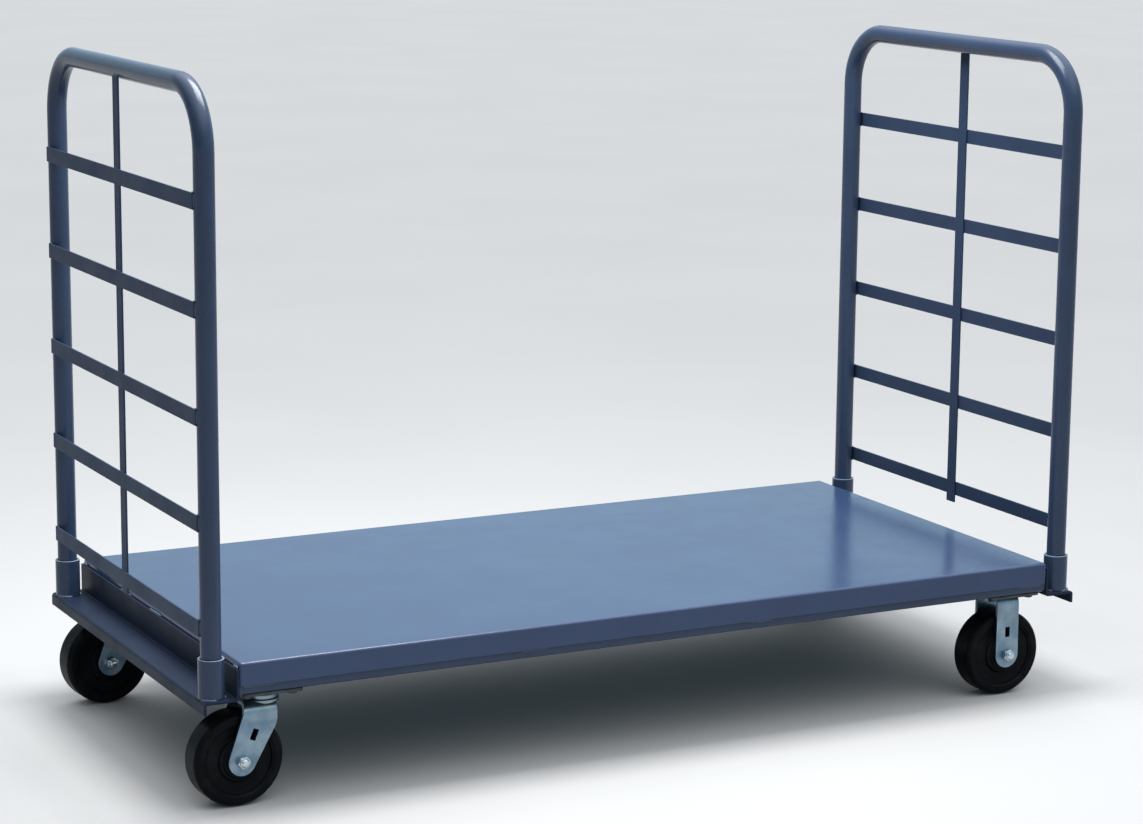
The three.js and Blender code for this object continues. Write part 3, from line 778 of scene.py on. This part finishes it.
def bars(end, sign):
    """The five slats and the upright of one end frame, with their weld beads."""
    body = f"{end}_end_frame"
    welds = []
    tube_x = (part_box(f"handle_tube_{end}")[0].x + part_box(f"handle_tube_{end}")[1].x) / 2
    contact = tube_x + sign * (TUBE_RADIUS - 0.2 * MM)
    for i in range(1, 6):
        node = f"slat_{end}_{i}"
        low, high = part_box(node)
        outline = [(low.x, low.z), (high.x, low.z), (high.x, high.z), (low.x, high.z)]
        slat = extruded(outline, low.y, high.y, "Y", 12)
        piece(f"crossbar_{end}_{i}", slat, BAR_PAINT, body, [node], BAR_EASE)
        for side in SIDES.values():
            y = side * (high.y + 0.6 * MM)
            welds.append(bead((contact, y, low.z + 2 * MM), (contact, y, high.z - 2 * MM), 2.3 * MM,
                              Vector((1, 0, 0))))
            for z in (low.z, high.z):
                welds.append(bead((contact, side * (high.y - 9 * MM), z), (contact, y, z), 1.7 * MM))
    node = f"upright_bar_{end}"
    low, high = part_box(node)
    outline = [(low.x, low.y), (high.x, low.y), (high.x, high.y), (low.x, high.y)]
    upright = extruded(outline, low.z, high.z, "Z", 24)
    piece(f"centre_bar_{end}", upright, BAR_PAINT, body, [node], BAR_EASE)
    welds.append(bead((tube_x + sign * 14 * MM, low.y, high.z), (tube_x + sign * 14 * MM, high.y, high.z),
                      2.2 * MM))
    seam_x = low.x if sign < 0 else high.x
    for i in range(1, 6):
        slat_low, slat_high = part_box(f"slat_{end}_{i}")
        for z in (slat_low.z, slat_high.z):
            welds.append(bead((seam_x, low.y + 3 * MM, z), (seam_x, high.y - 3 * MM, z), 1.4 * MM))
    piece(f"weld_end_frame_{end}", merged(*welds), HIGHLIT_WELD_PAINT, body)


# ---------------------------------------------------------------- casters

def plate_blank():
    outline = rounded_rectangle(PLATE_X, PLATE_Y, PLATE_CORNER)
    return extruded(outline, PLATE_BOTTOM, PLATE_TOP, "Z")


def plate_bolt():
    """A hexagon bolt through plate and cross member: washer face and head below, nut above."""
    bottom = PLATE_BOTTOM
    head = hex_turned(PLATE_HEX, bottom - 6.4 * MM, bottom - 0.4 * MM, chamfer_high=False)
    washer = turned(eased([(4.9 * MM, bottom - 0.6 * MM), (8.6 * MM, bottom - 0.6 * MM),
                           (8.6 * MM, bottom), (4.9 * MM, bottom)], 0.2 * MM, 2), 40)
    shank_top = PLATE_TOP + 17 * MM
    shank = turned([(0, bottom), (4.75 * MM, bottom), (4.75 * MM, shank_top - 1 * MM),
                    (3.9 * MM, shank_top), (0, shank_top)], 24)
    seat = PLATE_TOP + STEEL + 0.4 * MM
    nut = hex_turned(PLATE_HEX, seat, seat + 8.3 * MM, 4.6 * MM)
    return merged(head, washer, shank, nut)


def plate_bolts(corner):
    spot = CASTER[corner]
    half = BOLT_SPACING / 2
    bolts = []
    for sx in (-1, 1):
        for sy in (-1, 1):
            twist = turn(dice.uniform(0, 60), "Z")
            bolts.append(moved(plate_bolt(), at(spot.x + sx * half, spot.y + sy * half, 0) @ twist))
    piece(f"plate_bolts_{corner}", merged(*bolts), SHADED_DULL_ZINC, TRUCK, ease=0.25 * MM)


def ball_race():
    """Two pressed cups with a ring of balls between them."""
    low, high = RACE_LOW, RACE_HIGH
    middle = (low.z + high.z) / 2
    ring = RACE_RADIUS - 0.8 * MM - RACE_BALL
    bore = 8.7 * MM
    gap = 0.9 * MM
    cup_edge = RACE_RADIUS
    lower = turned(eased([
        (bore, low.z), (cup_edge - 1 * MM, low.z, 2 * MM), (cup_edge, middle - gap, 1.4 * MM),
        (cup_edge - 2.4 * MM, middle - gap, 0.4 * MM), (cup_edge - 5 * MM, middle - 4 * MM),
        (bore, middle - 4 * MM)], 0.5 * MM, 4), 96)
    upper = turned(eased([
        (bore, high.z), (bore, middle + 4 * MM), (cup_edge - 5 * MM, middle + 4 * MM),
        (cup_edge - 2.4 * MM, middle + gap, 0.4 * MM), (cup_edge, middle + gap, 1.4 * MM),
        (cup_edge - 0.4 * MM, high.z, 1.2 * MM)], 0.5 * MM, 4), 96)
    balls = []
    ball_count = 20
    for i in range(ball_count):
        a = 2 * math.pi * i / ball_count
        ball = turned(arc((0, 0), RACE_BALL, -90, 90, 10), 16)
        balls.append(moved(ball, at(ring * math.cos(a), ring * math.sin(a), middle)))
    return merged(lower, upper, *balls)


def tangent_angle(point, foot, radius, side):
    """Where the tangent from point touches the circle round foot, as an angle in degrees."""
    off = Vector(point) - Vector(foot)
    return math.degrees(math.atan2(off.y, off.x) + side * math.acos(radius / off.length))


def leg_outline(axle_x, left_top, right_top, knee=None):
    """A fork leg's side view: from its top down to the round foot at the axle and up again."""
    foot = (axle_x, WHEEL_RADIUS)
    start = tangent_angle(left_top, foot, FOOT_RADIUS, 1)
    end = tangent_angle(knee or right_top, foot, FOOT_RADIUS, -1) + 360
    lower = [left_top] + arc(foot, FOOT_RADIUS, start, end, 40)
    bend = []
    if knee:
        knee = Vector(knee)
        below = knee + (Vector(lower[-1]) - knee).normalized() * KNEE_REACH
        above = knee + (Vector(right_top) - knee).normalized() * KNEE_REACH
        steps = 12
        for k in range(steps + 1):
            t = k / steps
            bend.append(below * (1 - t) ** 2 + knee * 2 * t * (1 - t) + above * t ** 2)
    return lower + bend + [right_top]


def fork_blank(crown_top, outline):
    """The bent strip of both legs and the crown, trimmed to the legs' side view."""
    half = FORK_STEEL / 2
    leg = FORK_OUTER - half
    section = strip_section(
        [(-leg, 0), (-leg, crown_top - half), (leg, crown_top - half), (leg, 0)],
        FORK_STEEL, FORK_BEND, 12)
    strip = extruded(section, -0.15, 0.15, "X")
    trim = extruded(outline, -0.05, 0.05, "Y")
    return boolean(strip, trim, "INTERSECT")


def drilled(fork, axle_x, window_x, lean):
    """The fork with its axle hole and the small window in both legs."""
    hole = extruded(arc((axle_x, WHEEL_RADIUS), AXLE_HOLE, 0, 352.5, 47), -0.05, 0.05, "Y")
    fork = boolean(fork, hole, "DIFFERENCE")
    outline = rounded_rectangle(WINDOW_WIDTH, WINDOW_HEIGHT, 1.2 * MM, 4)
    window = extruded(outline, -0.05, 0.05, "Y")
    place = at(window_x, 0, WHEEL_RADIUS + WINDOW_ABOVE_AXLE) @ Matrix.Rotation(lean, 4, "Y")
    return boolean(fork, moved(window, place), "DIFFERENCE")


def swivel_fork():
    crown_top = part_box("swivel_fork_front")[1].z
    left_top, right_top = (SWIVEL_LEG_BACK, PLATE_TOP), (SWIVEL_LEG_FRONT, PLATE_TOP)
    lean = math.atan2(FORK_TRAIL + (left_top[0] + right_top[0]) / 2, crown_top - WHEEL_RADIUS)
    legs = fork_blank(crown_top, leg_outline(-FORK_TRAIL, left_top, right_top, KNEE))
    legs = drilled(legs, -FORK_TRAIL, -FORK_TRAIL + WINDOW_AHEAD, lean)
    bore = arc((0, 0), KINGPIN_BORE, 0, 352.5, 47)
    through = extruded(bore, crown_top - 20 * MM, crown_top + 5 * MM, "Z")
    legs = boolean(legs, through, "DIFFERENCE")
    crown = turned(eased([
        (KINGPIN_BORE, crown_top - FORK_STEEL), (RACE_RADIUS + 1 * MM, crown_top - FORK_STEEL),
        (RACE_RADIUS + 1 * MM, crown_top), (KINGPIN_BORE, crown_top)], 1.2 * MM), 96)
    return merged(legs, crown)


def rigid_fork():
    bottom = PLATE_BOTTOM
    half = RIGID_LEG_HALF
    outline = leg_outline(0, (-half, PLATE_TOP), (half, PLATE_TOP))
    legs = drilled(fork_blank(bottom + 0.2 * MM, outline), 0, 0, 0)
    welds = [bead((-half + 3 * MM, y, bottom - 0.6 * MM), (half - 3 * MM, y, bottom - 0.6 * MM), 2.2 * MM)
             for y in (-FORK_OUTER + FORK_BEND * 0.55, FORK_OUTER - FORK_BEND * 0.55)]
    return merged(legs, *welds)


def wheel():
    """The moulded wheel about the Y axis: rounded tread, a step in each face, and a raised hub."""
    side = [
        (WHEEL_RADIUS, TREAD_HALF - 7 * MM, 9 * MM), (WHEEL_RADIUS - 5.5 * MM, TREAD_HALF, 6 * MM),
        (60.5 * MM, TREAD_HALF - 0.3 * MM, 1.2 * MM), (58.5 * MM, TREAD_HALF - 2.6 * MM, 0.8 * MM),
        (56.8 * MM, TREAD_HALF - 2.2 * MM, 1.0 * MM), (54.5 * MM, TREAD_HALF - 6.6 * MM, 2.4 * MM),
        (36.5 * MM, TREAD_HALF - 7.4 * MM, 3 * MM), (34.2 * MM, TREAD_HALF - 2.2 * MM, 1.4 * MM),
        (30 * MM, TREAD_HALF - 1.2 * MM, 1.2 * MM), (27.5 * MM, HUB_HALF, 1.2 * MM),
        (BEARING_RADIUS + 0.6 * MM, HUB_HALF, 0.8 * MM)]
    profile = side + [(r, -y, ease) for r, y, ease in reversed(side)]
    return turned(eased(profile, 1 * MM, 6), 160, "Y")


def axle_bolt():
    """Head on the back leg, threaded end through the front leg's nut, which keeps a turned edge."""
    along_y = turn(-90, "X")  # +Z to +Y
    head_low = AXLE_SEAT
    head = hex_turned(AXLE_HEX, head_low, head_low + 7.6 * MM, chamfer_low=False)
    tip = -(AXLE_SEAT + AXLE_NUT_HEIGHT + AXLE_END)
    profile = [(0, tip), (4.4 * MM, tip + 0.1 * MM), (5.1 * MM, tip + 0.5 * MM)]
    thread_count = 12
    for i in range(thread_count):
        z = tip + 0.8 * MM + i * 1.2 * MM
        profile += [(5.45 * MM, z), (AXLE_RADIUS, z + 0.45 * MM), (AXLE_RADIUS, z + 0.7 * MM)]
    profile += [(AXLE_RADIUS, head_low + 1 * MM), (0, head_low + 1 * MM)]
    return moved(merged(head, turned(profile, 40)), along_y)


def lock_nut():
    """A hexagon nut with the thin round collar that holds its nylon ring."""
    seat = AXLE_SEAT
    body = hex_turned(AXLE_HEX, seat, seat + 8.4 * MM, AXLE_HOLE)
    collar = turned(eased([
        (AXLE_HOLE, seat + 8 * MM), (8.7 * MM, seat + 8 * MM, 0.2 * MM),
        (8.5 * MM, seat + 11.2 * MM, 1.3 * MM), (AXLE_HOLE, seat + 11.4 * MM, 0.3 * MM)], 0.4 * MM, 4), 64)
    return moved(merged(body, collar), turn(90, "X"))


def kingpin_nut():
    low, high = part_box("kingpin_nut_front")
    return hex_turned(KINGPIN_HEX, low.z, high.z, PIVOT_NUT_BORE)


def axle_place(name):
    """Where a wheel's roll joint is, and which way round its axle lies."""
    roll = joint(name)
    x, y, z = roll["pos_m"]
    return at(x, y, z) @ Matrix.Rotation(math.atan2(-roll["axis"][0], roll["axis"][1]), 4, "Z")


def caster_wheel(kind, end, side):
    """A wheel with its bearing, and the axle that stays in the fork."""
    place = axle_place(f"wheel_{end}_{side}_roll")
    roll = f"wheel_{end}_{side}"
    holder = f"swivel_{side}" if kind == "swivel" else TRUCK
    piece(f"tyre_{end}_{side}", moved(wheel(), place), RUBBER, roll,
          [f"{kind}_wheel_{side}"])
    spin = turn(dice.uniform(0, 60), "Y")
    to_axle = place @ spin
    piece(f"bolt_{end}_{side}", moved(axle_bolt(), to_axle), BRIGHT_ZINC, holder,
          [f"{kind}_axle_bolt_{side}"], 0.2 * MM)
    piece(f"nut_{end}_{side}", moved(lock_nut(), to_axle), BRIGHT_ZINC, holder,
          [f"{kind}_axle_nut_{side}"], 0.25 * MM)


def swivel_caster(side):
    corner = f"left_{side}"
    spot = CASTER[corner]
    plate = moved(plate_blank(), at(spot.x, spot.y, 0))
    piece(f"plate_{corner}", plate, SHADED_DULL_ZINC, TRUCK,
          [f"swivel_top_plate_{side}"], 0.6 * MM)
    race = moved(ball_race(), at(spot.x, spot.y, 0))
    piece(f"race_{corner}", race, ZINC, TRUCK, [f"ball_race_{side}"])
    nut = moved(kingpin_nut(), at(spot.x, spot.y, 0))
    piece(f"pivot_nut_{corner}", nut, ZINC, TRUCK, [f"kingpin_nut_{side}"], 0.3 * MM)
    roll = joint(f"wheel_left_{side}_roll")
    angle = math.atan2(-roll["axis"][0], roll["axis"][1])
    fork = moved(swivel_fork(), at(spot.x, spot.y, 0) @ Matrix.Rotation(angle, 4, "Z"))
    piece(f"fork_{corner}", fork, ZINC, f"swivel_{side}",
          [f"swivel_fork_{side}"], 0.7 * MM)
    caster_wheel("swivel", "left", side)
    plate_bolts(corner)


def rigid_caster(side):
    corner = f"right_{side}"
    spot = CASTER[corner]
    fork = moved(rigid_fork(), at(spot.x, spot.y, 0))
    piece(f"fork_{corner}", fork, ZINC, TRUCK, [f"rigid_fork_{side}"], 0.7 * MM)
    plate = moved(plate_blank(), at(spot.x, spot.y, 0))
    piece(f"plate_{corner}", plate, SHADED_DULL_ZINC, TRUCK, [f"rigid_fork_{side}"], 0.6 * MM)
    caster_wheel("rigid", "right", side)
    plate_bolts(corner)


def dress_kept_nodes():
    """The small parts deep in the casters keep their CAD meshes and get a finish and eased edges."""
    finishes = {"wheel_bearing": STEEL_FINISH, "axle_sleeve": ZINC, "kingpin": ZINC}
    for name, node in frame["nodes"].items():
        if node.hide_render:
            continue
        kind = next(k for k in finishes if k in name)
        node.data.materials.clear()
        node.data.materials.append(finishes[kind])
        add_bevel(node, 0.4 * MM, 2)


# ---------------------------------------------------------------- studio

ROOM_LIGHT = 3.8

def floor():
    rings = [[(r * math.cos(a), r * math.sin(a), 0) for a in (2 * math.pi * k / 96 for k in range(96))]
             for r in (0.5, 2, 5, 12, 60)]
    bm = bmesh.new()
    verts = [[bm.verts.new(p) for p in ring] for ring in rings]
    bm.faces.new(verts[0])
    for near, far in zip(verts, verts[1:]):
        for i in range(96):
            bm.faces.new((near[i - 1], near[i], far[i], far[i - 1]))
    bmesh.ops.recalc_face_normals(bm, faces=bm.faces[:])
    mesh = bpy.data.meshes.new("studio_floor")
    bm.to_mesh(mesh)
    bm.free()
    mesh.materials.append(studio_floor("studio_floor"))
    obj = bpy.data.objects.new("studio_floor", mesh)
    obj.location.z = -0.0002
    bpy.context.scene.collection.objects.link(obj)


def softbox(name, spot, target, size, power, tint=(1, 1, 1)):
    lamp = bpy.data.lights.new(name, "AREA")
    lamp.shape = "RECTANGLE"
    lamp.size, lamp.size_y = size
    lamp.energy = power
    lamp.color = tint
    obj = bpy.data.objects.new(name, lamp)
    obj.location = spot
    obj.rotation_euler = (Vector(target) - Vector(spot)).to_track_quat("-Z", "Y").to_euler()
    bpy.context.scene.collection.objects.link(obj)


def surroundings():
    """A room that is bright overhead and pale bluish low down, and dimmer towards the left (-X)."""
    world = bpy.data.worlds.new("room")
    bpy.context.scene.world = world
    world.use_nodes = True
    tree = world.node_tree
    direction = tree.nodes.new("ShaderNodeTexCoord").outputs["Generated"]
    split = tree.nodes.new("ShaderNodeSeparateXYZ")
    tree.links.new(direction, split.inputs[0])
    ramp = tree.nodes.new("ShaderNodeValToRGB")
    tree.links.new(split.outputs["Z"], ramp.inputs[0])
    stops = [(0.0, (0.14, 0.19, 0.22)), (0.18, (0.17, 0.245, 0.275)), (0.36, (0.13, 0.16, 0.18)),
             (0.62, (0.48, 0.50, 0.52)), (1.0, (0.92, 0.95, 1.0))]
    elements = ramp.color_ramp.elements
    elements.remove(elements[0])
    for position, tone in stops:
        element = elements[0] if position == 0 else elements.new(position)
        element.position = position
        element.color = (*tone, 1)
    shade = tree.nodes.new("ShaderNodeMapRange")
    shade.interpolation_type = "SMOOTHSTEP"
    for socket, number in zip(shade.inputs[1:5], (-1.0, 0.1, 0.27, 1.0)):
        socket.default_value = number
    tree.links.new(split.outputs["X"], shade.inputs["Value"])
    strength = tree.nodes.new("ShaderNodeMath")
    strength.operation = "MULTIPLY"
    strength.inputs[1].default_value = ROOM_LIGHT
    tree.links.new(shade.outputs["Result"], strength.inputs[0])
    background = tree.nodes["Background"]
    tree.links.new(ramp.outputs["Color"], background.inputs["Color"])
    tree.links.new(strength.outputs[0], background.inputs["Strength"])


def camera():
    """Level with a standing person's chest, off the truck's front left corner."""
    pan, tilt, roll = math.radians(62.75), math.radians(-11.01), math.radians(0.49)
    ahead = Vector((math.cos(pan) * math.cos(tilt), math.sin(pan) * math.cos(tilt), math.sin(tilt)))
    right = Vector((math.sin(pan), -math.cos(pan), 0))
    up = right.cross(ahead)
    rolled_right = right * math.cos(roll) + up * math.sin(roll)
    rolled_up = up * math.cos(roll) - right * math.sin(roll)
    lens = bpy.data.cameras.new("camera")
    lens.sensor_width = 36
    lens.lens = 96.07
    lens.clip_end = 200
    obj = bpy.data.objects.new("camera", lens)
    basis = Matrix((rolled_right, rolled_up, -ahead)).transposed()
    obj.matrix_world = at(-2.3954, -4.6669, 1.532) @ basis.to_4x4()
    bpy.context.scene.collection.objects.link(obj)
    bpy.context.scene.camera = obj


deck()
side_rails()
cross_members()
end_bolsters()
sockets()
seam_welds()
for end_name, end_sign in ENDS.items():
    hoop(end_name)
    bars(end_name, end_sign)
for side_name in SIDES:
    swivel_caster(side_name)
    rigid_caster(side_name)
dress_kept_nodes()

floor()
surroundings()
softbox("overhead", (-0.05, -0.05, 2.3), (-0.05, 0, 0.3), (1.2, 1.0), 66, (0.96, 0.98, 1.0))
camera()
bpy.context.scene.view_settings.view_transform = "Standard"
